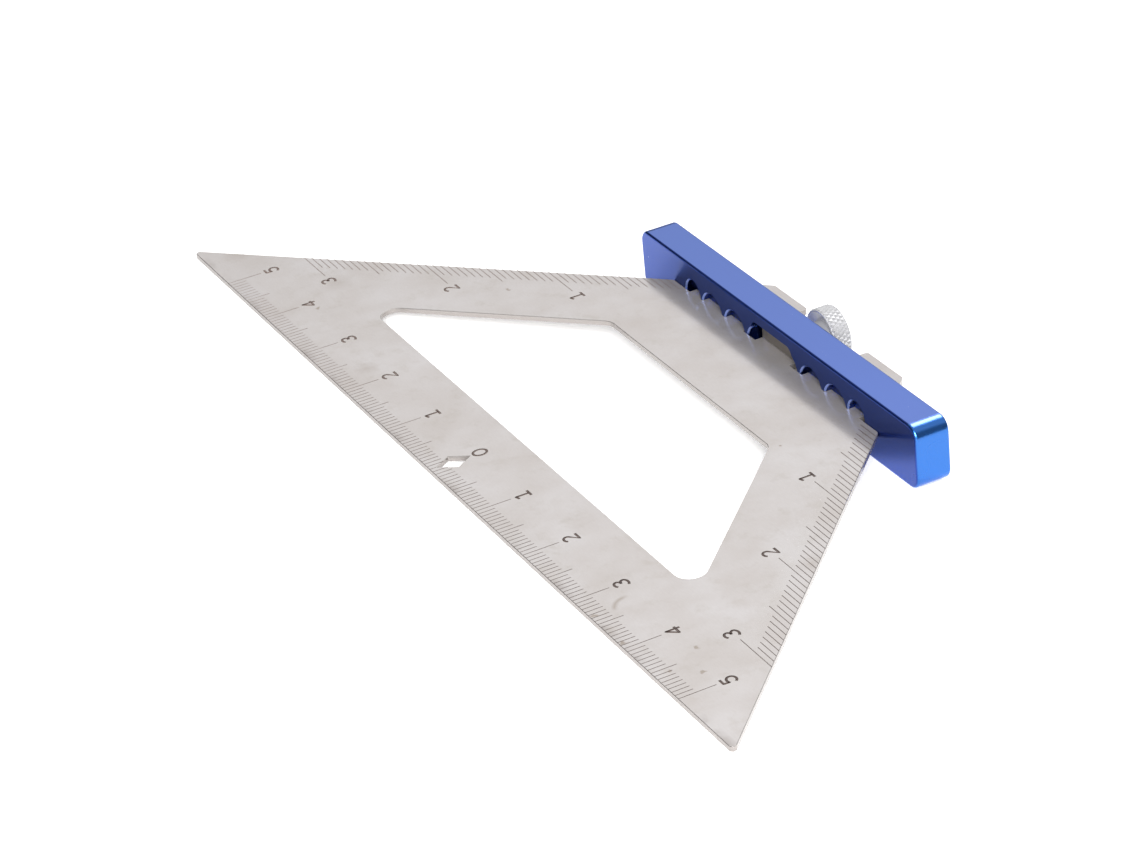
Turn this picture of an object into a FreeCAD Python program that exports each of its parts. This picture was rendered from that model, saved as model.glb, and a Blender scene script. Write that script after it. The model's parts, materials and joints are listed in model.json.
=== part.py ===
"""Triangular ruler: a ruled 45 degree blade drawn against a blue fence by a thumb nut.

Everything is drawn in the blade's own frame: X along the long edge with the scale's zero at X = 0,
Y from the long edge towards the fence, Z up from the blade's lower face. The finished pieces are then
tilted together about the long edge, because the fence is deeper than the blade is thick and the tool
rests on the fence's lower front edge and on the blade's long edge.
"""
import FreeCAD, Part
import math
import os
import Sketcher

Vector = FreeCAD.Vector

SIZES = [
    # blade
    ("BladeDepth", 100.0),
    ("BladeThick", 1.5),
    ("ShoulderHalf", 52.0),
    ("BorderWidth", 25.4),
    ("TipRadius", 1.0),
    ("EdgeBreak", 0.15),
    ("ShoulderRadius", 1.2),
    ("WindowRadius", 4.2),
    ("DiamondWidth", 6.2),
    ("DiamondHeight", 9.6),
    ("DiamondCentre", 6.6),
    ("TabReach", 20.0),
    ("ShoulderLand", 8.8),
    ("TabInner", 15.0),
    ("TabRadius", 1.0),
    ("TongueHalf", 8.8),
    ("TongueGrip", 3.4),
    # fence
    ("FenceLength", 139.6),
    ("FenceHeight", 18.0),
    ("FenceThick", 10.0),
    ("FenceRise", 0.4),
    ("FenceCorner", 3.8),
    ("FenceEdge", 0.8),
    ("SlotPlay", 0.1),
    ("SlotSidePlay", 0.2),
    ("SlotEndRoom", 2.1),
    ("ScallopFirst", 7.4),
    ("ScallopPitch", 12.0),
    ("ScallopDiameter", 10.6),
    ("ScallopDrop", 1.2),
    ("EndScallopInset", 10.5),
    ("EndScallopDiameter", 7.6),
    ("EndScallopLift", 0.4),
    ("ScallopDepth", 2.0),
    ("ScallopEdge", 0.4),
    ("PocketCorner", 2.5),
    # draw bolt and pin
    ("HeadInset", 2.3),
    ("HeadDepth", 4.9),
    ("HeadHalf", 8.9),
    ("HeadHeight", 10.0),
    ("HeadEdge", 0.3),
    ("HeadSidePlay", 1.4),
    ("HeadPlay", 0.75),
    ("HeadBackRoom", 0.3),
    ("GripPlay", 0.02),
    ("GripRoom", 0.2),
    ("StudDiameter", 5.0),
    ("StudPlay", 0.2),
    ("StudEdge", 0.5),
    ("StudInset", 0.6),
    ("PinDiameter", 2.0),
    ("PinBack", 1.8),
    ("PinInset", 0.3),
    # nut
    ("HubDiameter", 9.0),
    ("HubLength", 4.9),
    ("KnobDiameter", 15.5),
    ("KnobThick", 5.0),
    ("KnobEdge", 0.45),
    ("KnurlStarts", 36.0),
    ("KnurlRows", 2.0),
    ("KnurlDepth", 0.35),
    ("RimWidth", 0.3),
    ("DishDepth", 1.0),
    ("NutPlay", 0.05),
]

SHEET = "Sizes"
EDGE_DROP = "((Sizes.FenceHeight - Sizes.BladeThick) / 2 - Sizes.FenceRise - Sizes.FenceEdge)"
EDGE_REACH = "(Sizes.BladeDepth + Sizes.FenceEdge)"
TILT = ("(atan(%s / %s) + asin(Sizes.FenceEdge / sqrt(%s ^ 2 + %s ^ 2)))"
        % (EDGE_DROP, EDGE_REACH, EDGE_DROP, EDGE_REACH))
MIDDLE = "(Sizes.BladeThick / 2 + Sizes.FenceRise)"
LONG_HALF = "(Sizes.ShoulderHalf + Sizes.BladeDepth)"
TAB_OUTER = "(Sizes.ShoulderHalf - Sizes.ShoulderLand)"
POCKET_HALF = "(Sizes.HeadHalf + Sizes.HeadSidePlay)"
POCKET_RISE = "(Sizes.HeadHeight / 2 + Sizes.HeadPlay)"
POCKET_DEPTH = "(Sizes.HeadInset + Sizes.HeadDepth + Sizes.HeadBackRoom)"
PIN_PLACE = "(Sizes.BladeDepth + Sizes.HeadInset + Sizes.PinBack)"

doc = FreeCAD.newDocument("triangular_ruler")


def make_sheet():
    """Put every driving size in the spreadsheet under its own alias."""
    sheet = doc.addObject("Spreadsheet::Sheet", SHEET)
    for row, (alias, value) in enumerate(SIZES, start=1):
        sheet.set("A%d" % row, alias)
        sheet.set("B%d" % row, str(value))
        sheet.setAlias("B%d" % row, alias)
    doc.recompute()
    return sheet


sheet = make_sheet()


def size(alias):
    return float(getattr(sheet, alias))


def make_body(label):
    body = doc.addObject("PartDesign::Body", label)
    body.Label = label
    return body


def origin_plane(body, role):
    for feature in body.Origin.OriginFeatures:
        if feature.Role == role:
            return feature
    raise ValueError("no origin plane " + role)


def make_sketch(body, name, role, offset="0"):
    """A sketch on one of the body's origin planes, moved along the plane's normal."""
    sketch = body.newObject("Sketcher::SketchObject", name)
    sketch.AttachmentSupport = (origin_plane(body, role), [""])
    sketch.MapMode = "FlatFace"
    sketch.setExpression("AttachmentOffset.Base.z", offset)
    return sketch


def place_point(sketch, geometry, position, across, along):
    """Tie one end of a line or arc to its place, both coordinates read from the sheet."""
    for kind, expression in (("DistanceX", across), ("DistanceY", along)):
        value = sketch.evalExpression(expression)
        number = sketch.addConstraint(
            Sketcher.Constraint(kind, -1, 1, geometry, position, float(value)))
        sketch.setExpression("Constraints[%d]" % number, expression)


def draw_outline(sketch, corners):
    """A closed run of straight lines through corners given as pairs of expressions."""
    points = []
    for across, along in corners:
        points.append(Vector(float(sketch.evalExpression(across)),
                             float(sketch.evalExpression(along)), 0))
    first = sketch.GeometryCount
    count = len(points)
    for index in range(count):
        sketch.addGeometry(Part.LineSegment(points[index], points[(index + 1) % count]), False)
    for index in range(count):
        following = first + (index + 1) % count
        sketch.addConstraint(Sketcher.Constraint("Coincident", first + index, 2, following, 1))
    for index, (across, along) in enumerate(corners):
        place_point(sketch, first + index, 1, across, along)


def draw_circle(sketch, across, along, diameter):
    centre = Vector(float(sketch.evalExpression(across)), float(sketch.evalExpression(along)), 0)
    value = float(sketch.evalExpression(diameter))
    circle = sketch.addGeometry(Part.Circle(centre, Vector(0, 0, 1), value / 2), False)
    place_point(sketch, circle, 3, across, along)
    number = sketch.addConstraint(Sketcher.Constraint("Diameter", circle, value))
    sketch.setExpression("Constraints[%d]" % number, diameter)


def draw_rounded_rectangle(sketch, half_width, level, rise, corner):
    """A rectangle about (0, level) whose corners are quarter arcs."""
    half = float(sketch.evalExpression(half_width))
    middle = float(sketch.evalExpression(level))
    height = float(sketch.evalExpression(rise))
    radius = float(sketch.evalExpression(corner))
    inner = half - radius
    upper = height - radius
    diagonal = radius * math.sqrt(0.5)
    pieces = []
    for right, top in ((1, 1), (-1, 1), (-1, -1), (1, -1)):
        centre = Vector(right * inner, middle + top * upper, 0)
        side = centre + Vector(right * radius, 0, 0)
        level_end = centre + Vector(0, top * radius, 0)
        bend = centre + Vector(right * diagonal, top * diagonal, 0)
        first, last = (side, level_end) if right * top > 0 else (level_end, side)
        arc = sketch.addGeometry(Part.Arc(first, bend, last), False)
        place_point(sketch, arc, 3,
                    "%d * (%s - %s)" % (right, half_width, corner),
                    "%s + %d * (%s - %s)" % (level, top, rise, corner))
        number = sketch.addConstraint(Sketcher.Constraint("Radius", arc, radius))
        sketch.setExpression("Constraints[%d]" % number, corner)
        pieces.append((arc, first, last))
    for index, (arc, first, last) in enumerate(pieces):
        following, onward, beyond = pieces[(index + 1) % 4]
        line = sketch.addGeometry(Part.LineSegment(last, onward), False)
        sketch.addConstraint(Sketcher.Constraint("Tangent", arc, 2, line, 1))
        sketch.addConstraint(Sketcher.Constraint("Tangent", line, 2, following, 1))


def rectangle(half_width, low, high):
    return [("-(%s)" % half_width, low), (half_width, low), (half_width, high), ("-(%s)" % half_width, high)]


def add_pad(body, name, sketch, length, reverse=False):
    pad = body.newObject("PartDesign::Pad", name)
    pad.Profile = sketch
    pad.setExpression("Length", length)
    pad.Reversed = reverse
    sketch.Visibility = False
    doc.recompute()
    return pad


def add_pocket(body, name, sketch, depth=None, reverse=False):
    """A blind pocket of the given depth, or one right through when no depth is given."""
    before = body.Shape.Volume
    pocket = body.newObject("PartDesign::Pocket", name)
    pocket.Profile = sketch
    if depth is None:
        pocket.Type = "ThroughAll"
    else:
        pocket.setExpression("Length", depth)
    pocket.Reversed = reverse
    sketch.Visibility = False
    doc.recompute()
    if not body.Shape.Volume < before:
        raise ValueError(name + " cuts nothing")
    return pocket


def edge_names(shape, wanted):
    """Names of the edges for which wanted(edge) holds."""
    return ["Edge%d" % number for number, edge in enumerate(shape.Edges, start=1) if wanted(edge)]


def along_axis(edge, axis):
    if not isinstance(edge.Curve, Part.Line):
        return False
    return abs(abs(edge.Curve.Direction.dot(axis)) - 1) < 1e-6


def add_fillet(body, name, base, wanted, radius):
    fillet = body.newObject("PartDesign::Fillet", name)
    fillet.Base = (base, edge_names(base.Shape, wanted))
    fillet.setExpression("Radius", radius)
    doc.recompute()
    return fillet


def add_chamfer(body, name, base, wanted, width):
    chamfer = body.newObject("PartDesign::Chamfer", name)
    chamfer.Base = (base, edge_names(base.Shape, wanted))
    chamfer.setExpression("Size", width)
    doc.recompute()
    return chamfer


def on_rim(edge, thickness, reach):
    """Whether an edge lies on a flat face of the plate, clear of the tabs and the tongue."""
    level = edge.BoundBox
    flat = level.ZLength < 1e-6 and min(abs(level.ZMin), abs(level.ZMin - thickness)) < 1e-6
    return flat and level.YMin < reach - 1e-6


def make_blade():
    """The ruled plate: a trapezoid with two tabs and a tongue on its short side."""
    body = make_body("blade")
    depth = "Sizes.BladeDepth"
    overall = "Sizes.BladeDepth + Sizes.TabReach"
    right_side = [
        (LONG_HALF, "0"),
        ("Sizes.ShoulderHalf", depth),
        (TAB_OUTER, depth),
        (TAB_OUTER, "Sizes.BladeDepth + Sizes.ShoulderLand"),
        ("Sizes.ShoulderHalf - Sizes.TabReach", overall),
        ("Sizes.TabInner", overall),
        ("Sizes.TabInner", depth),
        ("Sizes.TongueHalf", depth),
        ("Sizes.TongueHalf", "Sizes.BladeDepth + Sizes.HeadInset + Sizes.TongueGrip"),
    ]
    left_side = [("-(%s)" % across, along) for across, along in reversed(right_side)]
    outline = make_sketch(body, "BladeOutline", "XY_Plane")
    draw_outline(outline, right_side + left_side)
    plate = add_pad(body, "BladePlate", outline, "Sizes.BladeThick")

    up = Vector(0, 0, 1)
    shoulder = size("ShoulderHalf")
    tip = shoulder + size("BladeDepth")
    plate = add_fillet(body, "BladeTips", plate, lambda edge: along_axis(edge, up)
                       and abs(abs(edge.CenterOfMass.x) - tip) < 1e-6, "Sizes.TipRadius")
    add_fillet(body, "BladeShoulders", plate, lambda edge: along_axis(edge, up)
               and abs(abs(edge.CenterOfMass.x) - shoulder) < 1e-6
               and abs(edge.CenterOfMass.y - size("BladeDepth")) < 1e-6, "Sizes.ShoulderRadius")

    overall_depth = size("BladeDepth") + size("TabReach")
    add_fillet(body, "TabCorners", body.Tip, lambda edge: along_axis(edge, up)
               and abs(edge.CenterOfMass.y - overall_depth) < 1e-6, "Sizes.TabRadius")

    slant = "%s - Sizes.BorderWidth * sqrt(2)" % LONG_HALF
    far = "Sizes.BladeDepth - Sizes.BorderWidth"
    window = make_sketch(body, "WindowOutline", "XY_Plane")
    draw_outline(window, [
        ("%s - Sizes.BorderWidth" % slant, "Sizes.BorderWidth"),
        ("%s - (%s)" % (slant, far), far),
        ("-(%s - (%s))" % (slant, far), far),
        ("-(%s - Sizes.BorderWidth)" % slant, "Sizes.BorderWidth"),
    ])
    opening = add_pocket(body, "BladeWindow", window, reverse=True)
    near = size("BorderWidth")
    far_side = size("BladeDepth") - size("BorderWidth")
    corner_limit = tip - size("BorderWidth") * math.sqrt(2) - near + 1e-3
    add_fillet(body, "WindowCorners", opening, lambda edge: along_axis(edge, up)
               and min(abs(edge.CenterOfMass.y - near), abs(edge.CenterOfMass.y - far_side)) < 1e-6
               and abs(edge.CenterOfMass.x) < corner_limit, "Sizes.WindowRadius")

    diamond = make_sketch(body, "DiamondOutline", "XY_Plane")
    draw_outline(diamond, [
        ("0", "Sizes.DiamondCentre - Sizes.DiamondHeight / 2"),
        ("Sizes.DiamondWidth / 2", "Sizes.DiamondCentre"),
        ("0", "Sizes.DiamondCentre + Sizes.DiamondHeight / 2"),
        ("-Sizes.DiamondWidth / 2", "Sizes.DiamondCentre"),
    ])
    add_pocket(body, "ZeroDiamond", diamond, reverse=True)

    thickness = size("BladeThick")
    reach = size("BladeDepth")
    add_chamfer(body, "BlankedEdges", body.Tip, lambda edge: on_rim(edge, thickness, reach),
                "Sizes.EdgeBreak")

    hole = make_sketch(body, "PinHoleOutline", "XY_Plane")
    draw_circle(hole, "0", PIN_PLACE, "Sizes.PinDiameter")
    add_pocket(body, "PinHole", hole, reverse=True)
    return body


def make_fence():
    """The blue bar: slots for the tabs, scallops and a window on its front face."""
    body = make_body("fence")
    front = "-Sizes.BladeDepth"
    half_height = "Sizes.FenceHeight / 2"
    section = make_sketch(body, "FenceOutline", "XZ_Plane", front)
    draw_outline(section, rectangle("Sizes.FenceLength / 2", "%s - %s" % (MIDDLE, half_height),
                                    "%s + %s" % (MIDDLE, half_height)))
    bar = add_pad(body, "FenceBar", section, "Sizes.FenceThick", reverse=True)
    across = Vector(0, 1, 0)
    bar = add_fillet(body, "FenceCorners", bar, lambda edge: along_axis(edge, across), "Sizes.FenceCorner")
    front_face = size("BladeDepth")
    back_face = front_face + size("FenceThick")
    add_fillet(body, "FenceEdges", bar, lambda edge: not along_axis(edge, across)
               and min(abs(edge.CenterOfMass.y - front_face),
                       abs(edge.CenterOfMass.y - back_face)) < 1e-6, "Sizes.FenceEdge")

    low = "%s - Sizes.ScallopDrop" % MIDDLE
    scallops = [("End", "Sizes.ShoulderHalf - Sizes.EndScallopInset",
                 "%s + Sizes.EndScallopLift" % MIDDLE, "Sizes.EndScallopDiameter")]
    for name, step in (("Inner", 0), ("Middle", 1), ("Outer", 2)):
        place = "Sizes.ScallopFirst + %d * Sizes.ScallopPitch" % step
        scallops.append((name, place, low, "Sizes.ScallopDiameter"))
    for name, place, level, diameter in scallops:
        for side, sign in (("Right", 1), ("Left", -1)):
            mouth = make_sketch(body, side + name + "Outline", "XZ_Plane", front)
            draw_circle(mouth, "%d * (%s)" % (sign, place), level, diameter)
            add_pocket(body, side + name + "Scallop", mouth, "Sizes.ScallopDepth")
    add_chamfer(body, "ScallopEdges", body.Tip, lambda edge: isinstance(edge.Curve, Part.Circle)
                and edge.Closed and abs(edge.CenterOfMass.y - front_face) < 1e-6, "Sizes.ScallopEdge")

    slots = make_sketch(body, "TabSlotOutline", "XZ_Plane", front)
    slot_low = "-Sizes.SlotPlay"
    slot_high = "Sizes.BladeThick + Sizes.SlotPlay"
    inner = "Sizes.TabInner - Sizes.SlotSidePlay"
    outer = "%s + Sizes.SlotEndRoom" % TAB_OUTER
    draw_outline(slots, [(inner, slot_low), (outer, slot_low), (outer, slot_high), (inner, slot_high)])
    draw_outline(slots, [("-(%s)" % outer, slot_low), ("-(%s)" % inner, slot_low),
                         ("-(%s)" % inner, slot_high), ("-(%s)" % outer, slot_high)])
    add_pocket(body, "TabSlots", slots)

    window = make_sketch(body, "FenceWindowOutline", "XZ_Plane", front)
    draw_rounded_rectangle(window, POCKET_HALF, MIDDLE, POCKET_RISE, "Sizes.PocketCorner")
    add_pocket(body, "FenceWindow", window, POCKET_DEPTH)

    bore = make_sketch(body, "StudBoreOutline", "XZ_Plane", front)
    draw_circle(bore, "0", MIDDLE, "Sizes.StudDiameter + 2 * Sizes.StudPlay")
    add_pocket(body, "StudBore", bore)
    return body


def make_draw_bolt():
    """A slotted block that grips the blade's tongue, with its stud to the back."""
    body = make_body("draw_bolt")
    front = "-(Sizes.BladeDepth + Sizes.HeadInset)"
    half_height = "Sizes.HeadHeight / 2"
    face = make_sketch(body, "HeadOutline", "XZ_Plane", front)
    draw_outline(face, rectangle("Sizes.HeadHalf", "%s - %s" % (MIDDLE, half_height),
                                 "%s + %s" % (MIDDLE, half_height)))
    block = add_pad(body, "HeadBlock", face, "Sizes.HeadDepth", reverse=True)
    front_face = size("BladeDepth") + size("HeadInset")
    add_chamfer(body, "HeadEdges", block, lambda edge: abs(edge.CenterOfMass.y - front_face) < 1e-6,
                "Sizes.HeadEdge")

    stud = make_sketch(body, "StudOutline", "XZ_Plane", front)
    draw_circle(stud, "0", MIDDLE, "Sizes.StudDiameter")
    reach = ("Sizes.FenceThick + Sizes.HubLength + Sizes.KnobThick - Sizes.StudInset"
             " - Sizes.HeadInset")
    shaft = add_pad(body, "Stud", stud, reach, reverse=True)
    stud_end = size("BladeDepth") + size("HeadInset") + float(shaft.evalExpression(reach))
    add_chamfer(body, "StudEnd", shaft, lambda edge: isinstance(edge.Curve, Part.Circle)
                and abs(edge.CenterOfMass.y - stud_end) < 1e-6, "Sizes.StudEdge")

    grip = make_sketch(body, "GripOutline", "XZ_Plane", front)
    draw_outline(grip, rectangle("Sizes.HeadHalf + Sizes.HeadEdge", "-Sizes.GripPlay",
                                 "Sizes.BladeThick + Sizes.GripPlay"))
    add_pocket(body, "GripSlot", grip, "Sizes.TongueGrip + Sizes.GripRoom")

    hole = make_sketch(body, "HeadPinOutline", "XY_Plane", "%s - %s" % (MIDDLE, half_height))
    draw_circle(hole, "0", PIN_PLACE, "Sizes.PinDiameter")
    add_pocket(body, "HeadPinHole", hole, "Sizes.HeadHeight", reverse=True)
    return body


def make_blade_pin():
    """The dowel that ties the tongue into the draw bolt's head."""
    body = make_body("blade_pin")
    length = "(Sizes.HeadHeight - 2 * Sizes.PinInset)"
    outline = make_sketch(body, "PinOutline", "XY_Plane", "%s - %s / 2" % (MIDDLE, length))
    draw_circle(outline, "0", PIN_PLACE, "Sizes.PinDiameter")
    add_pad(body, "Pin", outline, length)
    return body


def knurl_rows():
    """Distance along the axis of each row of knurl points, from the rim's front edge."""
    rows = 2 * int(size("KnurlRows"))
    band = size("KnobThick") - 2 * size("KnobEdge")
    return [size("KnobEdge") + band * row / rows for row in range(rows + 1)]


def ring_point(radius, turn, along):
    """A point at a share of a full turn round the nut's axis."""
    angle = 2 * math.pi * turn
    return Vector(radius * math.sin(angle), along, radius * math.cos(angle))


def knurl_blank():
    """The nut's disc with a diamond knurl: four-sided points between crossing grooves.

    Groove crossings and points alternate round every row, and each row is half a point on from
    the last. Rows at both ends hold half points, which run out into the edge's bevel.
    """
    starts = int(size("KnurlStarts"))
    outer = size("KnobDiameter") / 2
    root = outer - size("KnurlDepth")
    edge = outer - size("KnobEdge")
    levels = knurl_rows()
    last = len(levels) - 1

    def crossing(row, step):
        return ring_point(root, (step + (row % 2) / 2) / starts, levels[row])

    def summit(row, step):
        return ring_point(outer, (step + 0.5 + (row % 2) / 2) / starts, levels[row])

    faces = []

    def facet(*corners):
        faces.append(Part.Face(Part.makePolygon(list(corners) + [corners[0]])))

    for row in range(last + 1):
        for step in range(starts):
            left = crossing(row, step)
            right = crossing(row, step + 1)
            top = summit(row, step)
            shift = step + row % 2
            if row < last:
                beyond = crossing(row + 1, shift)
                facet(top, left, beyond)
                facet(top, beyond, right)
            if row > 0:
                before = crossing(row - 1, shift)
                facet(top, right, before)
                facet(top, before, left)

    for row, along in ((0, 0.0), (last, size("KnobThick"))):
        rim = []
        for step in range(starts):
            low = ring_point(edge, (step + (row % 2) / 2) / starts, along)
            high = ring_point(edge, (step + 0.5 + (row % 2) / 2) / starts, along)
            onward = ring_point(edge, (step + 1 + (row % 2) / 2) / starts, along)
            facet(crossing(row, step), low, high)
            facet(crossing(row, step), high, summit(row, step))
            facet(summit(row, step), high, crossing(row, step + 1))
            facet(crossing(row, step + 1), high, onward)
            rim.extend([low, high])
        facet(*rim)
    shell = Part.makeShell(faces)
    shell.sewShape()
    solid = Part.makeSolid(shell)
    if solid.Volume < 0:
        solid.reverse()
    return solid


def make_knurled_nut():
    """The thumb nut: knurled disc, dished front, hub towards the fence and a plain bore."""
    front = "Sizes.BladeDepth + Sizes.FenceThick + Sizes.HubLength"
    towards_back = FreeCAD.Rotation(Vector(1, 0, 0), -90)

    blank = doc.addObject("Part::Feature", "KnurledDisc")
    blank.Shape = knurl_blank()
    blank.setExpression("Placement.Base.y", front)
    blank.setExpression("Placement.Base.z", MIDDLE)

    def on_axis(kind, name, start):
        thing = doc.addObject(kind, name)
        thing.Placement = FreeCAD.Placement(Vector(0, 0, 0), towards_back)
        thing.setExpression("Placement.Base.y", start)
        thing.setExpression("Placement.Base.z", MIDDLE)
        return thing

    dish = on_axis("Part::Cone", "Dish", front)
    dish.setExpression("Radius1", "Sizes.KnobDiameter / 2 - Sizes.KnobEdge - Sizes.RimWidth")
    dish.setExpression("Radius2", "Sizes.HubDiameter / 2")
    dish.setExpression("Height", "Sizes.DishDepth")
    hub = on_axis("Part::Cylinder", "Hub", "Sizes.BladeDepth + Sizes.FenceThick")
    hub.setExpression("Radius", "Sizes.HubDiameter / 2")
    hub.setExpression("Height", "Sizes.HubLength + Sizes.KnobThick / 2")
    bore = on_axis("Part::Cylinder", "Bore", "Sizes.BladeDepth + Sizes.FenceThick - Sizes.KnobEdge")
    bore.setExpression("Radius", "Sizes.StudDiameter / 2 + Sizes.NutPlay")
    bore.setExpression("Height", "Sizes.HubLength + Sizes.KnobThick + 2 * Sizes.KnobEdge")

    dished = doc.addObject("Part::Cut", "DishedDisc")
    dished.Base = blank
    dished.Tool = dish
    joined = doc.addObject("Part::Fuse", "HubbedDisc")
    joined.Base = dished
    joined.Tool = hub
    nut = doc.addObject("Part::Cut", "knurled_nut")
    nut.Label = "knurled_nut"
    nut.Base = joined
    nut.Tool = bore
    doc.recompute()
    return nut


def rest_on_table(node):
    """Turn a piece about the blade's long lower edge until the fence touches the table too."""
    node.Placement = FreeCAD.Placement(Vector(0, 0, 0), FreeCAD.Rotation(Vector(1, 0, 0), 1))
    node.setExpression("Placement.Rotation.Angle", TILT)


def check_document():
    for thing in doc.Objects:
        if "Invalid" in thing.State or "Error" in thing.State:
            raise ValueError("%s failed: %s" % (thing.Label, thing.State))


def write_node(node):
    shape = node.Shape
    if shape.isNull() or not shape.isValid() or not shape.Solids:
        raise ValueError(node.Label + " has no valid solid")
    shape.exportStep("parts/%s.step" % node.Label)
    box = shape.BoundBox
    print("%-12s %d solid, %8.1f mm3, x %.1f..%.1f y %.1f..%.1f z %.2f..%.2f"
          % (node.Label, len(shape.Solids), shape.Volume, box.XMin, box.XMax,
             box.YMin, box.YMax, box.ZMin, box.ZMax))


nodes = [make_fence(), make_blade(), make_draw_bolt(), make_blade_pin(), make_knurled_nut()]
for node in nodes:
    rest_on_table(node)
doc.recompute()
check_document()
os.makedirs("parts", exist_ok=True)
for node in nodes:
    write_node(node)
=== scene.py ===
# %% [markdown]
# A marking rule, dressed for its picture
#
# The tool is a ruled steel blade, cut as a 45 degree trapezoid, that a thumb nut draws against a blue
# fence. The solids come ready made from the frame. What is left for this lesson is what the eye reads
# first: satin steel that half mirrors the fence, anodised aluminium, a bright knurled nut, and the
# laser marked scales with their numerals.

# %% Load the frame
import json
import math

import bpy
from mathutils import Euler, Matrix, Vector


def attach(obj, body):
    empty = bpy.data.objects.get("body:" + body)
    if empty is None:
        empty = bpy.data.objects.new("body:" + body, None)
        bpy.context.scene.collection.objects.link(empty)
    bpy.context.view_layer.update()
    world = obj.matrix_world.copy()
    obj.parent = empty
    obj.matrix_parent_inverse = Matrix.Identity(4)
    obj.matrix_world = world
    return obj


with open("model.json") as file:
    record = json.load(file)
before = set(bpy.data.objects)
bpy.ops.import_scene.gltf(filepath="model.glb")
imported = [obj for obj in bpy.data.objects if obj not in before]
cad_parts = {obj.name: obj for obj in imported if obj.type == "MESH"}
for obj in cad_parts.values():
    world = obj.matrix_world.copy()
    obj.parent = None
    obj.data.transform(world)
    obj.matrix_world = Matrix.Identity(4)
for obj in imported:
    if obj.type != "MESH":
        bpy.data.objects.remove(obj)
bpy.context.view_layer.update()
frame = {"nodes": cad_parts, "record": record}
MM = 0.001
INCH = 25.4 * MM

# %% [markdown]
# The blade's own flat frame
#
# The fence is deeper than the blade is thick, so the tool rests tilted on two edges. Marks are easier to
# think of on a flat blade, with X along the long edge and Y towards the fence. The fence's top face is a
# mount, and its outward axis says how far everything is tilted, so flat work can be laid down at the end.

# %% Flat frame and main sizes
mounts = {mount["name"]: mount for mount in frame["record"]["mounts"]}
top_axis = mounts["fence_top"]["axis"]
TILT = math.atan2(-top_axis[1], top_axis[2])
TO_FRAME = Matrix.Rotation(TILT, 4, "X")
TO_FLAT = TO_FRAME.inverted()


def flat_box(name):
    """Lowest and highest corner of a node in the flat frame, from its own mesh."""
    points = [TO_FLAT @ vertex.co for vertex in frame["nodes"][name].data.vertices]
    low = Vector([min(point[axis] for point in points) for axis in range(3)])
    high = Vector([max(point[axis] for point in points) for axis in range(3)])
    return low, high


fence_low, fence_high = flat_box("fence")
BLADE_TOP = flat_box("blade")[1].z
FENCE_FACE = fence_low.y
SHOULDER_HALF = 52 * MM
print("tilt %.2f degrees, blade top %.2f mm, fence face %.1f mm"
      % (math.degrees(TILT), BLADE_TOP / MM, FENCE_FACE / MM))

# %% [markdown]
# Shader sums as plain Python
#
# A finish is a small sum of noises and masks. Wiring each Math node by hand hides the sum, so one class
# wraps a socket and lets + - * / build the nodes. A plain number works wherever a signal does.

# %% A socket that does sums


class Signal:
    """One output of a shader node, with arithmetic."""

    def __init__(self, nodes, socket):
        self.nodes = nodes
        self.socket = socket

    def __add__(self, other):
        return self.nodes.math("ADD", self, other)

    def __radd__(self, other):
        return self.nodes.math("ADD", other, self)

    def __sub__(self, other):
        return self.nodes.math("SUBTRACT", self, other)

    def __rsub__(self, other):
        return self.nodes.math("SUBTRACT", other, self)

    def __mul__(self, other):
        return self.nodes.math("MULTIPLY", self, other)

    def __truediv__(self, other):
        return self.nodes.math("DIVIDE", self, other)


class Nodes:
    """A shader tree and the few ways to add nodes to it."""

    def __init__(self, tree):
        self.tree = tree

    def node(self, kind, settings=None, inputs=None, output=0):
        """Add a node: its settings first, then values or links for its sockets."""
        made = self.tree.nodes.new(kind)
        for key, value in (settings or {}).items():
            setattr(made, key, value)
        for key, value in (inputs or {}).items():
            self.feed(made.inputs[key], value)
        return Signal(self, made.outputs[output])

    def feed(self, socket, value):
        """Link a signal to a socket, or set the socket to a plain value."""
        if isinstance(value, Signal):
            self.tree.links.new(value.socket, socket)
        else:
            socket.default_value = value

    def math(self, operation, *values):
        """A Math node fed with signals or numbers."""
        return self.node("ShaderNodeMath", {"operation": operation}, dict(enumerate(values)))

    def vector(self, operation, *values, output="Vector"):
        """The same for whole vectors."""
        return self.node("ShaderNodeVectorMath", {"operation": operation},
                         dict(enumerate(values)), output)

    def band(self, value, low, high, soft=False):
        """0 at low, 1 at high and level beyond them, straight in between or eased."""
        kind = "SMOOTHSTEP" if soft else "LINEAR"
        return self.node("ShaderNodeMapRange", {"clamp": True, "interpolation_type": kind},
                         {"Value": value, "From Min": low, "From Max": high})


# %% [markdown]
# One class for every finish
#
# Each material starts from the same few things: its main shader, places measured in the flat frame in
# millimetres, the way a face looks, noise of a stated size, and colours laid over one another. Sizes in
# millimetres can be read off the real object, which a bare noise scale doesn't allow.

# %% A finish and its patterns


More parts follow.
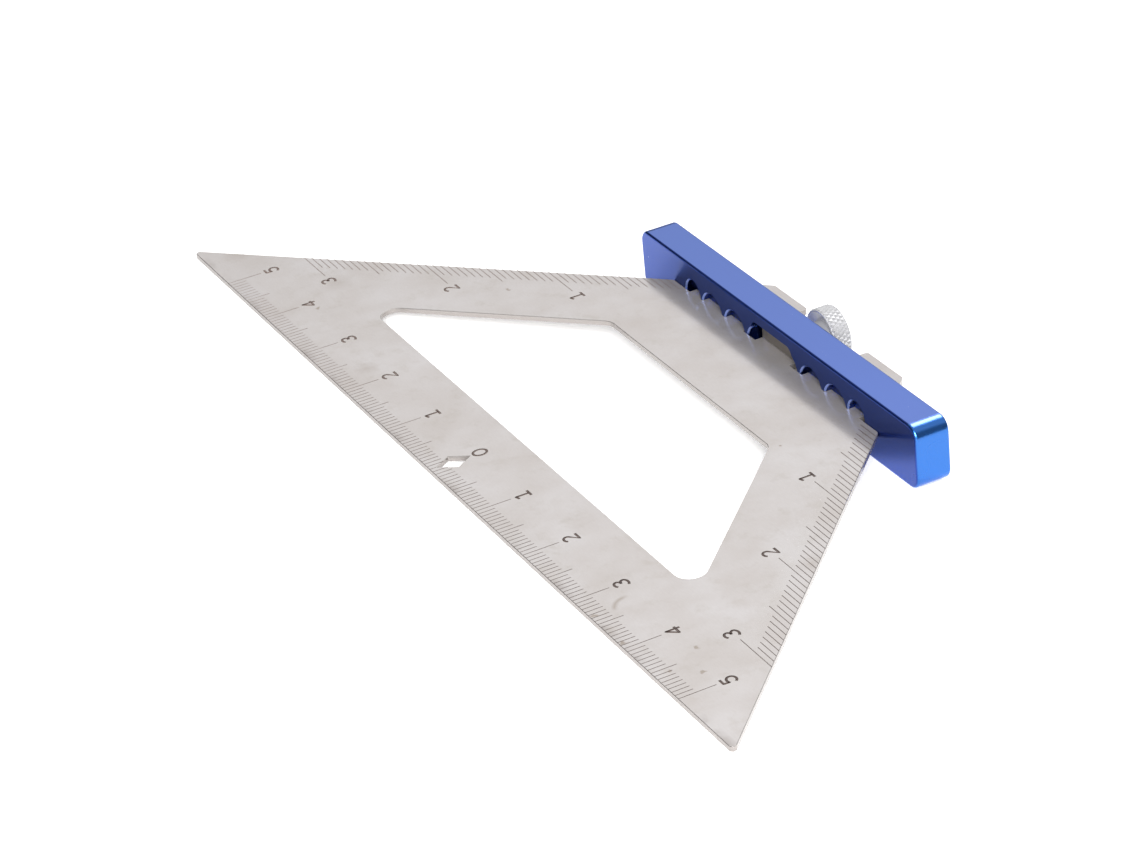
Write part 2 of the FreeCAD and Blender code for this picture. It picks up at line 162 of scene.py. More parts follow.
class Finish(Nodes):
    """A material with its main shader and its patterns, laid out in the flat frame."""

    def __init__(self, name):
        self.material = bpy.data.materials.new(name)
        self.material.use_nodes = True
        super().__init__(self.material.node_tree)
        self.shader = self.tree.nodes["Principled BSDF"]

    def flat_mm(self):
        """Object coordinates turned into the flat frame, counted in millimetres."""
        place = self.node("ShaderNodeTexCoord", output="Object")
        return self.node("ShaderNodeMapping", {"vector_type": "TEXTURE"},
                         {"Vector": place, "Rotation": (TILT, 0, 0), "Scale": (MM, MM, MM)})

    def apart(self, place):
        """The three components of a vector."""
        parts = self.node("ShaderNodeSeparateXYZ", None, {"Vector": place}).socket.node.outputs
        return [Signal(self, parts[axis]) for axis in "XYZ"]

    def facing(self):
        """The three components of the direction that a face looks in."""
        return self.apart(self.node("ShaderNodeTexCoord", output="Normal"))

    def noise(self, place, size, detail=2.0, stretch=(1, 1, 1), roughness=0.5):
        """Noise from about 0 to 1 whose blobs are size millimetres wide."""
        per_mm = tuple(1 / (size * factor) for factor in stretch)
        return self.node("ShaderNodeTexNoise", None,
                         {"Vector": self.vector("MULTIPLY", place, per_mm), "Scale": 1.0,
                          "Detail": detail, "Roughness": roughness})

    def patches(self, place, size, low, high, detail, roughness=0.5):
        """Noise cut into patches that start at low and are full at high."""
        return self.band(self.noise(place, size, detail, roughness=roughness), low, high)

    def spot(self, place, centre, radius, soft=0.5):
        """1 at a point, fading to 0 at radius millimetres."""
        away = self.vector("DISTANCE", place, centre, output="Value")
        return self.band(away, radius, radius * (1 - soft))

    def layer(self, under, over, mask, share=1.0):
        """One colour over another, as strong as its mask times its share."""
        made = self.tree.nodes.new("ShaderNodeMix")
        made.data_type = "RGBA"
        sockets = {socket.identifier: socket for socket in made.inputs}
        for key, value in (("Factor_Float", mask * share), ("A_Color", under), ("B_Color", over)):
            self.feed(sockets[key], (*value, 1.0) if isinstance(value, tuple) else value)
        results = {socket.identifier: socket for socket in made.outputs}
        return Signal(self, results["Result_Color"])

    def bump(self, height, strength, distance, normal=None):
        """A bump, on top of another one where a normal is given."""
        inputs = {"Height": height, "Strength": strength, "Distance": distance}
        if normal is not None:
            inputs["Normal"] = normal
        return self.node("ShaderNodeBump", None, inputs)

    def set(self, **values):
        """Values or links for the main shader, with spaces written as underscores."""
        for key, value in values.items():
            if isinstance(value, tuple):
                value = (*value, 1.0)
            self.feed(self.shader.inputs[key.replace("_", " ")], value)


def wear(name, finish):
    """Give a node of the frame its finish."""
    data = frame["nodes"][name].data
    data.materials.clear()
    data.materials.append(finish.material)


# %% [markdown]
# Marks of use on the blade
#
# A rule that has been handled carries smudges, specks and one hooked smear. They could be painted into
# an image. Placed as soft spots in millimetres they need none, and they stay on the blade when it
# slides. Shifting the place by a fine noise first makes every round spot ragged.

# %% Handling marks
SURFACE = BLADE_TOP / MM
RAGGED_SCALE = 0.55
RAGGED_SHIFT = 3.0
# A smudge is its place across and along the blade, its radius and its strength.
SMUDGES = (
    (-142.5, 10.0, 5.0, 0.45),
    (-108.5, 25.0, 5.5, 0.40),
    (-58.0, 10.0, 4.0, 0.40),
    (95.5, 54.5, 3.5, 0.45),
    (-20.0, 93.0, 6.0, 0.25),
    (60.0, 30.0, 6.0, 0.20))
SMUDGE_SOFT = 0.9
# A speck is its place and its radius.
SPECKS = (
    (111.0, 14.0, 0.9),
    (120.5, 10.0, 0.9),
    (116.0, 4.0, 0.8),
    (99.5, 1.0, 1.1),
    (85.0, 1.0, 1.1),
    (-75.0, 61.0, 0.7),
    (43.0, 77.0, 0.6),
    (-98.0, 14.0, 0.7))
HOOK_ACROSS = 86.7
HOOK_ALONG = 11.0
HOOK_RADIUS = 4.7
HOOK_WIDTH = 0.9
HOOK_STRENGTH = 0.8
# Where the ring fades in, counted from its centre.
HOOK_LEFT = (-0.5, -2.0)
HOOK_LOWER = (1.0, -1.0)


def hooked_smear(finish, place):
    """The lower left quarter of a soft ring."""
    away = finish.vector("DISTANCE", place, (HOOK_ACROSS, HOOK_ALONG, SURFACE), output="Value")
    ring = finish.band(finish.math("ABSOLUTE", away - HOOK_RADIUS), HOOK_WIDTH, 0.0)
    across, along = finish.apart(place)[:2]
    left = finish.band(across - HOOK_ACROSS, *HOOK_LEFT)
    lower = finish.band(along - HOOK_ALONG, *HOOK_LOWER)
    return ring * left * lower * HOOK_STRENGTH


def handling_marks(finish, place):
    """Stains that stay where hands and work left them."""
    ragged = finish.node("ShaderNodeTexNoise", None,
                         {"Vector": place, "Scale": RAGGED_SCALE, "Detail": 3.0}, "Color")
    shift = finish.vector("MULTIPLY_ADD", ragged, (RAGGED_SHIFT, RAGGED_SHIFT, 0.0),
                          (-RAGGED_SHIFT / 2, -RAGGED_SHIFT / 2, 0.0))
    moved = finish.vector("ADD", place, shift)
    spots = [finish.spot(moved, (across, along, SURFACE), radius, SMUDGE_SOFT) * strength
             for across, along, radius, strength in SMUDGES]
    spots += [finish.spot(moved, (across, along, SURFACE), radius) for across, along, radius in SPECKS]
    stain = hooked_smear(finish, place)
    for spot in spots:
        stain = finish.math("MAXIMUM", stain, spot)
    return stain


print("marks:", len(SMUDGES), "smudges and", len(SPECKS), "specks")

# %% [markdown]
# Satin stainless steel
#
# Cold rolled stainless plate is a half mirror: the fence shows in it as a dark band, but softly and
# through a haze. One Principled shader does both. Metallic below one leaves a share of pale diffuse
# haze, and a low roughness keeps the mirrored part readable. Clouds of warm and cool grey, brown
# tarnish, grime along the long edge and the marks of use keep it from looking new. The cut sides and
# the edge chamfers get a darker colour picked by the way a face looks: painted shade.

# %% Blade finish
STEEL_COOL = (0.645, 0.618, 0.612)
STEEL_WARM = (0.550, 0.508, 0.482)
STEEL_TARNISH = (0.455, 0.415, 0.365)
STEEL_SIDE_PAINTED_SHADE = (0.320, 0.294, 0.281)
STEEL_STAIN = (0.40, 0.35, 0.31)
STEEL_GRIME = (0.20, 0.165, 0.145)
GRIME_REACH = (2.4, 0.2)
NOT_UPRIGHT = (0.9, 0.5)
FINE_BUMP = 0.02 * MM


def satin_steel():
    finish = Finish("satin_steel")
    place = finish.flat_mm()
    clouds = finish.patches(place, size=22.0, low=0.35, high=0.70, detail=4.0)
    blotches = finish.patches(place, size=7.0, low=0.45, high=0.80, detail=3.0)
    tarnish = finish.patches(place, size=5.0, low=0.54, high=0.72, detail=6.0, roughness=0.65)
    grime = finish.patches(place, size=8.0, low=0.50, high=0.68, detail=4.0)
    near_edge = finish.band(finish.apart(place)[1], *GRIME_REACH)
    grain = finish.noise(place, size=0.5, detail=3.0, stretch=(3.0, 1.0, 1.0))
    haze = finish.noise(place, size=9.0, detail=3.0)
    colour = finish.layer(STEEL_COOL, STEEL_WARM, clouds, share=0.8)
    colour = finish.layer(colour, STEEL_WARM, blotches, share=0.5)
    colour = finish.layer(colour, STEEL_TARNISH, tarnish, share=0.3)
    colour = finish.layer(colour, STEEL_GRIME, grain, share=0.12)
    colour = finish.layer(colour, STEEL_STAIN, handling_marks(finish, place))
    colour = finish.layer(colour, STEEL_GRIME, near_edge * grime, share=0.4)
    # Painted shade: faces that are not upright, the cut sides and edge chamfers, take a darker steel.
    colour = finish.layer(colour, STEEL_SIDE_PAINTED_SHADE, finish.band(finish.facing()[2], *NOT_UPRIGHT))
    finish.set(Base_Color=colour, Metallic=0.64, Roughness=0.13 + haze * 0.09,
               Normal=finish.bump(grain, strength=0.08, distance=FINE_BUMP))
    return finish


steel_finish = satin_steel()
wear("blade", steel_finish)
print("blade finish:", len(steel_finish.tree.nodes), "nodes")

# %% [markdown]
# Blue anodised aluminium
#
# Anodising dyes a clear oxide skin, so highlights stay blue but very bright ones wash out. The bar was
# blasted before dyeing: broad reflections, almost no texture at arm's length, and tiny bright nicks
# where the skin chipped. The colour follows the way a face looks, as painted light and shade: a pale lit
# copy on top, a deep shaded copy in front, clear blue on the ends. Inside the slot and the scallops a
# painted shade makes it deepest, and the rims of the scallops carry a painted highlight.

# %% Fence finish
# Painted light and shade: the top, end and front colours are lit and shaded copies of one blue, the
# pocket colour is painted shade and the rim colour is a painted highlight.
ANODISED_TOP_PAINTED_LIGHT = (0.145, 0.240, 0.69)
ANODISED_END_PAINTED_LIGHT = (0.0225, 0.136, 0.47)
ANODISED_FRONT_PAINTED_SHADE = (0.007, 0.042, 0.29)
ANODISED_RIM_PAINTED_HIGHLIGHT = (0.30, 0.42, 0.90)
ANODISED_POCKET_PAINTED_SHADE = (0.004, 0.022, 0.13)
ANODISED_NICK = (0.75, 0.80, 0.90)
ANODISED_GRAZING = (0.64, 0.72, 0.92)
END_STARTS = fence_high.x / MM - 3.8
END_BLEND = 0.2
# Each pair is where a mask starts and where it is full, in millimetres or as part of a direction.
BEHIND_FACE = (0.4, 0.8)
BEFORE_BACK = (9.5, 9.0)
NOT_UNDERSIDE = (-0.9, -0.6)
FACES_FORWARD = (-0.6, -0.9)
FACES_UP = (0.86, 0.985)
RIM_TURNED = (-0.92, -0.80)
RIM_STEEP = (-0.50, -0.60)
BELOW_TOP = (1.5, 2.0)


def blue_anodised():
    finish = Finish("blue_anodised")
    place = finish.flat_mm()
    across, along, up = finish.apart(place)
    backward, upward = finish.facing()[1:]
    end = finish.band(finish.math("ABSOLUTE", across), END_STARTS - END_BLEND, END_STARTS + END_BLEND)
    depth = along - FENCE_FACE / MM
    # The pocket mask carries painted shade into the slot and the scallops.
    pocket = finish.band(depth, *BEHIND_FACE) * finish.band(depth, *BEFORE_BACK)
    pocket = pocket * finish.band(upward, *NOT_UNDERSIDE)
    front = finish.band(backward, *FACES_FORWARD) * (1 - pocket)
    # The rim mask carries a painted highlight onto the scallop rims.
    rim = finish.band(backward, *RIM_TURNED) * finish.band(backward, *RIM_STEEP)
    rim = rim * finish.band(fence_high.z / MM - up, *BELOW_TOP) * (1 - end)
    nicks = finish.patches(place, size=1.1, low=0.80, high=0.82, detail=1.0)
    # Painted light and shade laid face by face: the shaded front copy as the base, the pocket shade, the
    # lit ends, the shaded front, the lit top and the highlight on the rims.
    colour = finish.layer(ANODISED_FRONT_PAINTED_SHADE, ANODISED_POCKET_PAINTED_SHADE, pocket)
    colour = finish.layer(colour, ANODISED_END_PAINTED_LIGHT, end)
    colour = finish.layer(colour, ANODISED_FRONT_PAINTED_SHADE, front)
    colour = finish.layer(colour, ANODISED_TOP_PAINTED_LIGHT, finish.band(upward, *FACES_UP))
    colour = finish.layer(colour, ANODISED_RIM_PAINTED_HIGHLIGHT, rim)
    colour = finish.layer(colour, ANODISED_NICK, nicks)
    clouds = finish.noise(place, size=30.0)
    skin = finish.noise(place, size=0.35)
    finish.set(Base_Color=colour, Metallic=1.0, Roughness=0.25 + clouds * 0.08,
               Specular_Tint=ANODISED_GRAZING, Coat_Weight=0.55, Coat_Roughness=0.12, Coat_IOR=1.5,
               Normal=finish.bump(skin, strength=0.12, distance=FINE_BUMP))
    return finish


anodised_finish = blue_anodised()
wear("fence", anodised_finish)
print("fence finish:", len(anodised_finish.tree.nodes), "nodes")

# %% [markdown]
# Bolt steel
#
# The bolt's head was milled and shows a dull warm grey. Its stud carries a fine thread. A real helix
# would cost thousands of faces on a part that hides inside the nut, so a bump that climbs one pitch per
# turn draws it.

# %% Bolt and pin finish
BOLT_DARK = (0.20, 0.18, 0.16)
BOLT_PALE = (0.30, 0.275, 0.25)
STUD_AXIS_Z = (fence_low.z + fence_high.z) / 2 / MM
STUD_STARTS = (107.3, 107.5)
THREAD_PITCH = 0.8
THREAD_BUMP = 0.4 * MM


def milled_steel():
    finish = Finish("milled_steel")
    place = finish.flat_mm()
    across, along, up = finish.apart(place)
    streaks = finish.noise(place, size=0.6, detail=3.0, stretch=(6.0, 1.0, 0.3))
    turns = finish.math("ARCTAN2", up - STUD_AXIS_Z, across) / (2 * math.pi)
    thread = finish.math("PINGPONG", along / THREAD_PITCH - turns, 0.5)
    on_stud = finish.band(along, *STUD_STARTS)
    brushed = finish.bump(streaks, strength=0.1, distance=FINE_BUMP)
    threaded = finish.bump(thread * on_stud, strength=1.0, distance=THREAD_BUMP, normal=brushed)
    finish.set(Base_Color=finish.layer(BOLT_DARK, BOLT_PALE, streaks), Metallic=0.75, Roughness=0.32,
               Normal=threaded)
    return finish


bolt_finish = milled_steel()
wear("draw_bolt", bolt_finish)
wear("blade_pin", bolt_finish)
print("bolt finish:", len(bolt_finish.tree.nodes), "nodes")

# %% [markdown]
# Bare aluminium nut
#
# The knurl is real geometry, so its shader only has to be rough enough that the small facets glint
# without burning out. The flat faces were turned on a lathe, so they are far smoother, and the dish
# towards the fence mirrors some of its blue. Their much paler colour is painted light, which brightens
# the dish that faces the fence in shade.

# %% Nut finish
NUT_DARK = (0.39, 0.39, 0.40)
NUT_PALE = (0.455, 0.455, 0.465)
# Painted light: the turned faces are far paler than the knurl, so that the dish in shade reads bright.
NUT_TURNED_PAINTED_LIGHT = (0.92, 0.92, 0.94)
TURNED_FACES = (0.80, 0.95)


def bright_aluminium():
    finish = Finish("bright_aluminium")
    cloud = finish.noise(finish.flat_mm(), size=2.0)
    turned = finish.band(finish.math("ABSOLUTE", finish.facing()[1]), *TURNED_FACES)
    colour = finish.layer(NUT_DARK, NUT_PALE, cloud)
    # Painted light on the turned faces.
    colour = finish.layer(colour, NUT_TURNED_PAINTED_LIGHT, turned)
    finish.set(Base_Color=colour, Metallic=0.45 + turned * 0.3,
               Roughness=0.50 + cloud * 0.1 - turned * 0.36)
    return finish


wear("knurled_nut", bright_aluminium())
print("finishes:", [material.name for material in bpy.data.materials])

# %% [markdown]
# Marking black
#
# A laser turns the steel's own skin brown black. The marks are darkest near the right end and paler
# towards the left, where the rule is worn, with a little unevenness everywhere.

# %% Mark finish
MARK_FRESH = (0.040, 0.025, 0.020)
MARK_WORN = (0.160, 0.120, 0.105)
WORN_ACROSS = (70.0, -140.0)
WORN_MOST = 0.8
UNEVEN = 0.4


def marking_black():
    finish = Finish("laser_mark")
    place = finish.flat_mm()
    fade = finish.noise(place, size=3.0, detail=3.0)
    worn = finish.band(finish.apart(place)[0], *WORN_ACROSS) * WORN_MOST + fade * UNEVEN
    finish.set(Base_Color=finish.layer(MARK_FRESH, MARK_WORN, worn), Metallic=0.0, Roughness=0.45)
    return finish


mark_finish = marking_black()
print("mark finish:", len(mark_finish.tree.nodes), "nodes")

# %% [markdown]
# Laser marked scales
#
# Every scale is the same rule: a mark each sixteenth of an inch, longer at the half and longest at the
# inch. Geometry Nodes fit that well. A mesh line gives the places, the index picks the length, and one
# cube is instanced as each mark. A mark is a film far thinner than paper, just proud of the steel, so
# that it can't flicker against the face below.

# %% Tick tree
PER_INCH = 16
SIXTEENTH = INCH / PER_INCH


class Tree:
    """A Geometry Nodes tree with named inputs."""

    def __init__(self, name, inputs):
        self.group = bpy.data.node_groups.new(name, "GeometryNodeTree")
        self.sockets = {}
        self.group.interface.new_socket("Geometry", in_out="OUTPUT", socket_type="NodeSocketGeometry")
        self.group.interface.new_socket("Geometry", in_out="INPUT", socket_type="NodeSocketGeometry")
        for label, kind in inputs:
            made = self.group.interface.new_socket(label, in_out="INPUT", socket_type="NodeSocket" + kind)
            self.sockets[label] = made.identifier
        self.start = self.group.nodes.new("NodeGroupInput")
        self.end = self.group.nodes.new("NodeGroupOutput")

    def input(self, label):
        return self.start.outputs[label]

    def node(self, kind, settings=None, inputs=None, output=0):
        """Add a node: its settings first, then values or links for its sockets."""
        made = self.group.nodes.new(kind)
        for key, value in (settings or {}).items():
            setattr(made, key, value)
        for key, value in (inputs or {}).items():
            if hasattr(value, "is_output"):
                self.group.links.new(value, made.inputs[key])
            else:
                made.inputs[key].default_value = value
        return made.outputs[output]

    def math(self, operation, first, second):
        return self.node("ShaderNodeMath", {"operation": operation}, {0: first, 1: second})

    def finish(self, geometry):
        """Realize, paint with the Material input and send out."""
        real = self.node("GeometryNodeRealizeInstances", None, {"Geometry": geometry})
        painted = self.node("GeometryNodeSetMaterial", None,
                            {"Geometry": real, "Material": self.input("Material")})
        self.group.links.new(painted, self.end.inputs["Geometry"])


def scale_tree():
    tree = Tree("scale_marks", [
        ("Count", "Int"), ("Start", "Vector"), ("Step", "Vector"), ("Turn", "Float"),
        ("First", "Int"), ("Sixteenth", "Float"), ("Half", "Float"), ("Inch", "Float"),
        ("At Zero", "Float"), ("Width", "Float"), ("Film", "Float"), ("Material", "Material")])
    line = tree.node("GeometryNodeMeshLine", {"mode": "OFFSET"}, {
        "Count": tree.input("Count"), "Start Location": tree.input("Start"),
        "Offset": tree.input("Step")}, "Mesh")
    number = tree.math("ADD", tree.node("GeometryNodeInputIndex"), tree.input("First"))

    def multiple(of):
        left_over = tree.math("FLOORED_MODULO", number, of)
        return tree.math("LESS_THAN", left_over, 0.5)

    is_half = multiple(PER_INCH // 2)
    is_inch = multiple(PER_INCH)
    is_zero = tree.math("COMPARE", number, 0.0)
    length = tree.input("Sixteenth")
    for test, name in ((is_half, "Half"), (is_inch, "Inch"), (is_zero, "At Zero")):
        extra = tree.math("SUBTRACT", tree.input(name), length)
        length = tree.math("ADD", length, tree.math("MULTIPLY", test, extra))
    size = tree.node("ShaderNodeCombineXYZ", None,
                     {"X": length, "Y": tree.input("Width"), "Z": tree.input("Film")})
    turn = tree.node("ShaderNodeCombineXYZ", None, {"Z": tree.input("Turn")})
    cube = tree.node("GeometryNodeMeshCube", None, {"Size": (1.0, 1.0, 1.0)}, "Mesh")
    mark = tree.node("GeometryNodeTransform", None, {"Geometry": cube, "Translation": (0.5, 0.0, 0.0)})
    marks = tree.node("GeometryNodeInstanceOnPoints", None,
                      {"Points": line, "Instance": mark, "Rotation": turn, "Scale": size})
    tree.finish(marks)
    return tree


scale_marks = scale_tree()
print("scale tree:", len(scale_marks.group.nodes), "nodes")

# %% [markdown]
# From a tree to a mesh that rides on the blade
#
# The tree runs on an empty object. Its evaluated result is copied to a plain mesh, turned from the flat
# frame onto the tilted blade, and given to the blade's body, so that it slides when the nut is undone.

# %% Grow a tree on the blade


def grow(name, tree, values, source=None):
    """Evaluate a tree and keep its mesh as one piece on the blade."""
    host = bpy.data.objects.new(name + "_host", source or bpy.data.meshes.new(name + "_seed"))
    bpy.context.scene.collection.objects.link(host)
    modifier = host.modifiers.new("grow", "NODES")
    modifier.node_group = tree.group
    for label, value in values.items():
        modifier[tree.sockets[label]] = value
    bpy.context.view_layer.update()
    evaluated = host.evaluated_get(bpy.context.evaluated_depsgraph_get())
    mesh = bpy.data.meshes.new_from_object(evaluated)
    bpy.data.objects.remove(host)
    mesh.name = name
    mesh.transform(TO_FRAME)
    piece = bpy.data.objects.new(name, mesh)
    bpy.context.scene.collection.objects.link(piece)
    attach(piece, "blade")
    print("%s: %d faces" % (name, len(mesh.polygons)))


# %% [markdown]
# Three scales
#
# The long edge counts from zero in its middle to five inches either way. The two slanted edges count
# from the fence outwards to three inches. Their marks lie along the long edge, so each next mark steps
# out and forward by the same sixteenth, because the edges are cut at 45 degrees.

# %% Scales
MARK_FILM = 0.012 * MM
MARK_HEIGHT = BLADE_TOP + MARK_FILM / 2
MARK_LOOKS = {"Width": 0.20 * MM, "Film": MARK_FILM, "Material": mark_finish.material}
EDGE_GAP = 0.05 * MM
LONG_INCHES = 5
SLANT_INCHES = 3
LONG_SPAN = LONG_INCHES * PER_INCH
grow("long_edge_scale", scale_marks, {
    **MARK_LOOKS, "Count": 2 * LONG_SPAN + 1, "First": -LONG_SPAN,
    "Start": (-LONG_SPAN * SIXTEENTH, EDGE_GAP, MARK_HEIGHT), "Step": (SIXTEENTH, 0, 0),
    "Turn": math.pi / 2, "Sixteenth": 4.7 * MM, "Half": 6.8 * MM, "Inch": 9.9 * MM,
    "At Zero": 1.7 * MM})
for name, side in (("right_slant_scale", 1), ("left_slant_scale", -1)):
    start_x = side * (SHOULDER_HALF + SIXTEENTH - EDGE_GAP)
    grow(name, scale_marks, {
        **MARK_LOOKS, "Count": SLANT_INCHES * PER_INCH, "First": 1,
        "Start": (start_x, FENCE_FACE - SIXTEENTH, MARK_HEIGHT),
        "Step": (side * SIXTEENTH, -SIXTEENTH, 0), "Turn": math.pi if side > 0 else 0.0,
        "Sixteenth": 7.3 * MM, "Half": 9.8 * MM, "Inch": 14.1 * MM, "At Zero": 14.1 * MM})

# %% [markdown]
# Numerals
#
# The numerals are drawn the way a laser draws them, as one stroke of even width along a centre line.
# Straight runs and parts of ellipses are enough for the six digits. A second tree sweeps a flat
# rectangle along all the strokes at once. They read with their feet towards the fence.

# %% Digit strokes
CORNER = 0.06 * MM
FOOT = -1.83
HEAD = 1.83


def run(*points):
    """Straight lines, with a point just beside each corner, so that the sweep keeps its width."""
    corners = [Vector((across, up, 0)) * MM for across, up in points]
    line = corners[:1]
    for start, end in zip(corners, corners[1:]):
        near = (end - start).normalized() * CORNER
        if (end - start).length > 3 * CORNER:
            line.extend([start + near, end - near])
        line.append(end)
    return line


def bow(across, up, wide, high, start, stop, steps=14):
    """Points along part of an ellipse, angles in degrees."""
    points = []
    for step in range(steps + 1):
        angle = math.radians(start + (stop - start) * step / steps)
        points.append((across + wide * math.cos(angle), up + high * math.sin(angle)))
    return run(*points)


DIGITS = {
    "0": [bow(0, 0, 1.45, 1.86, 0, 360, steps=28)],
    "1": [run((-1.25, 1.42), (0, HEAD), (0, FOOT)), run((-1.3, FOOT), (1.35, FOOT))],
    "2": [bow(-0.05, 0.80, 1.12, 1.03, 155, -38) + run((-1.3, FOOT), (1.4, FOOT))],
    "3": [bow(-0.15, 0.93, 1.15, 0.90, 150, -90), bow(-0.2, -0.90, 1.35, 0.93, 90, -150)],
    "4": [run((0.55, FOOT), (0.55, HEAD), (-1.45, -0.72), (1.45, -0.72))],
    "5": [run((1.15, HEAD), (-0.85, HEAD), (-0.95, 0.28)) + bow(-0.15, -0.62, 1.3, 1.21, 125, -150)],
}
print("digits:", sorted(DIGITS))

# %% Digit places and the sweep
STROKE = 0.66 * MM
SAME_PLACE = 0.01 * MM
DIGIT_UP = 13.2 * MM
ZERO_UP = 14.2 * MM
SLANT_DIGIT_IN = 17.4 * MM
SLANT_DIGIT_DOWN = 0.5 * MM


def digit_places():
    """Each digit with its centre in the flat frame."""
    places = []
    for number in range(-LONG_INCHES, LONG_INCHES + 1):
        up = ZERO_UP if number == 0 else DIGIT_UP
        places.append((str(abs(number)), number * INCH, up))
    for number in range(1, SLANT_INCHES + 1):
        up = FENCE_FACE - number * INCH - SLANT_DIGIT_DOWN
        for side in (1, -1):
            edge = SHOULDER_HALF + number * INCH
            places.append((str(number), side * (edge - SLANT_DIGIT_IN), up))
    return places


def digit_lines():
    """One mesh of loose edges with every stroke of every digit, feet towards the fence."""
    points = []
    edges = []
    for digit, across, along in digit_places():
        for stroke in DIGITS[digit]:
            closed = (stroke[0] - stroke[-1]).length < SAME_PLACE
            corners = stroke[:-1] if closed else stroke
            first = len(points)
            for corner in corners:
                points.append((across - corner.x, along - corner.y, MARK_HEIGHT))
            edges.extend((first + index, first + index + 1) for index in range(len(corners) - 1))
            if closed:
                edges.append((len(points) - 1, first))
    lines = bpy.data.meshes.new("digit_lines")
    lines.from_pydata(points, edges, [])
    return lines


def stroke_tree():
    tree = Tree("stroke_sweep", [("Width", "Float"), ("Film", "Float"), ("Material", "Material")])
    path = tree.node("GeometryNodeMeshToCurve", None, {"Mesh": tree.input("Geometry")})
    level = tree.node("GeometryNodeSetCurveNormal", {"mode": "Z_UP"}, {"Curve": path})
    tip = tree.node("GeometryNodeCurvePrimitiveQuadrilateral", {"mode": "RECTANGLE"},
                    {"Width": tree.input("Width"), "Height": tree.input("Film")})
    swept = tree.node("GeometryNodeCurveToMesh", None,
                      {"Curve": level, "Profile Curve": tip, "Fill Caps": True})
    tree.finish(swept)
    return tree


grow("numerals", stroke_tree(), {**MARK_LOOKS, "Width": STROKE}, digit_lines())

# %% [markdown]
# White floor
#
# The tool lies on pure white. A backdrop that hides from the camera would need a trick for each view. A
# very wide matt plane needs none: the lamps light it to white, a little glow of its own keeps the
# contact shadow faint, and the steel and the fence's end mirror it as they do in the photograph.

# %% Floor
FLOOR_HALF = 4.0
FLOOR_WHITE = (0.93, 0.93, 0.93)
FLOOR_GLOW = 0.34


def pale_floor():
    finish = Finish("pale_floor")
    finish.set(Base_Color=FLOOR_WHITE, Roughness=0.9, Specular_IOR_Level=0.0,
               Emission_Color=(1.0, 1.0, 1.0), Emission_Strength=FLOOR_GLOW)
    mesh = bpy.data.meshes.new("floor")
    corners = [(-FLOOR_HALF, -FLOOR_HALF, 0), (FLOOR_HALF, -FLOOR_HALF, 0),
               (FLOOR_HALF, FLOOR_HALF, 0), (-FLOOR_HALF, FLOOR_HALF, 0)]
    mesh.from_pydata(corners, [], [(0, 1, 2, 3)])
    mesh.materials.append(finish.material)
    floor = bpy.data.objects.new("floor", mesh)
    bpy.context.scene.collection.objects.link(floor)


pale_floor()
print("floor: %.0f m wide" % (2 * FLOOR_HALF))

# %% [markdown]
# Sky
#
# Shiny metal is drawn by what it mirrors. The room is dark, with one large bright panel overhead and
# behind the tool and a weak one low at its side. The sky needs no image for that: the angle between a
# direction and a panel's centre says how bright the sky is there, full inside and fading at the rim.

# %% Sky panels
ROOM = 0.05
# A panel is its centre as azimuth and height, its rim and full angles from there, and its level.
PANELS = (
    ((130, 70), (60, 44), 0.80),
    ((45, 24), (46, 8), 0.22))


def toward(azimuth, elevation):
    """Unit vector for a compass angle from +X towards +Y and a height above the horizon."""
    level = math.cos(math.radians(elevation))
    return Vector((level * math.cos(math.radians(azimuth)), level * math.sin(math.radians(azimuth)),
                   math.sin(math.radians(elevation))))


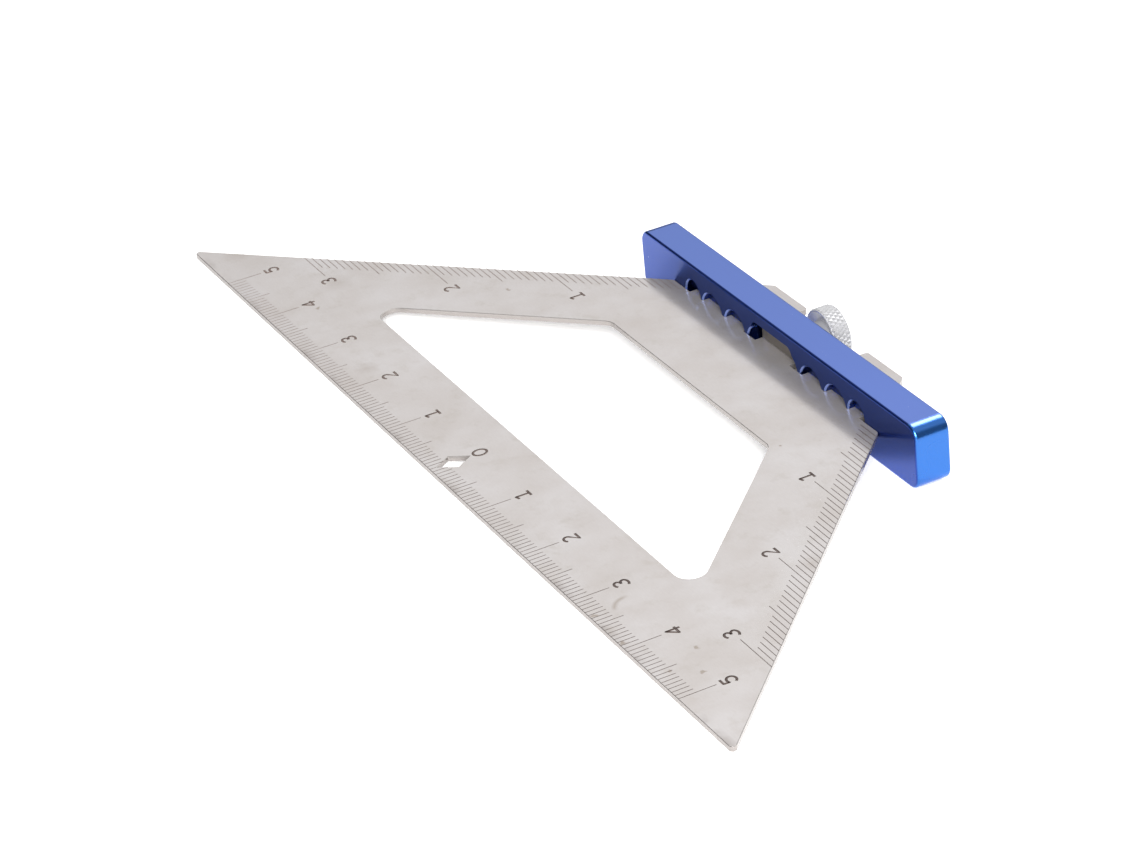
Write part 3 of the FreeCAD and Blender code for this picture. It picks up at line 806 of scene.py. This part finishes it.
def tent_sky():
    world = bpy.data.worlds.new("white_tent")
    world.use_nodes = True
    bpy.context.scene.world = world
    sky = Nodes(world.node_tree)
    place = sky.node("ShaderNodeTexCoord", output="Generated")
    light = ROOM
    for centre, reach, level in PANELS:
        facing = sky.vector("DOT_PRODUCT", place, toward(*centre), output="Value")
        rim, full = (math.cos(math.radians(angle)) for angle in reach)
        light = light + sky.band(facing, rim, full, soft=True) * level
    background = world.node_tree.nodes["Background"]
    background.inputs["Color"].default_value = (1.0, 1.0, 1.0, 1.0)
    sky.feed(background.inputs["Strength"], light)


tent_sky()
print("sky:", len(PANELS), "panels")

# %% [markdown]
# Lamps
#
# The sky alone would leave the floor grey. Two square lamps, soft because they are large for their
# distance, do the lighting: one beside the camera, low, for the floor, the end face and the knurl, and
# one overhead and behind for the fence's top and the shadow the tool sits on.

# %% Softboxes
LAMP_AWAY = 1.5


def softbox(name, place, size, level):
    """A square lamp that faces the tool from a compass angle and a height."""
    data = bpy.data.lights.new(name, "AREA")
    data.shape = "SQUARE"
    data.size = size
    data.energy = level * math.pi * size ** 2
    lamp = bpy.data.objects.new(name, data)
    lamp.location = toward(*place) * LAMP_AWAY
    lamp.rotation_euler = toward(*place).to_track_quat("Z", "Y").to_euler()
    bpy.context.scene.collection.objects.link(lamp)
    print("%s: %.1f W" % (name, data.energy))


softbox("front_softbox", place=(-26, 30), size=0.8, level=20.0)
softbox("top_softbox", place=(120, 57), size=0.6, level=6.5)

# %% [markdown]
# Camera
#
# The inch marks of the real rule are known distances, so the camera could be solved from where they
# fall in the photograph: a long lens, above and beyond the right end of the long edge. It is stated in
# the flat frame, like the marks, and laid down with the same tilt.

# %% Camera
CAMERA_PLACE = (766.43 * MM, -320.10 * MM, 475.87 * MM)
CAMERA_TURN = (60.5240, 5.1637, 61.9271)
CAMERA_LENS = 120.25
CAMERA_SENSOR = 36.0
CAMERA_NEAREST = 0.01
camera_data = bpy.data.cameras.new("camera")
camera_data.sensor_width = CAMERA_SENSOR
camera_data.lens = CAMERA_LENS
camera_data.clip_start = CAMERA_NEAREST
camera = bpy.data.objects.new("camera", camera_data)
camera_turn = Euler([math.radians(angle) for angle in CAMERA_TURN], "XYZ").to_matrix().to_4x4()
camera.matrix_world = TO_FRAME @ Matrix.Translation(CAMERA_PLACE) @ camera_turn
bpy.context.scene.collection.objects.link(camera)
bpy.context.scene.camera = camera
bpy.context.scene.view_settings.view_transform = "Standard"
print("camera at", [round(value, 4) for value in camera.location])
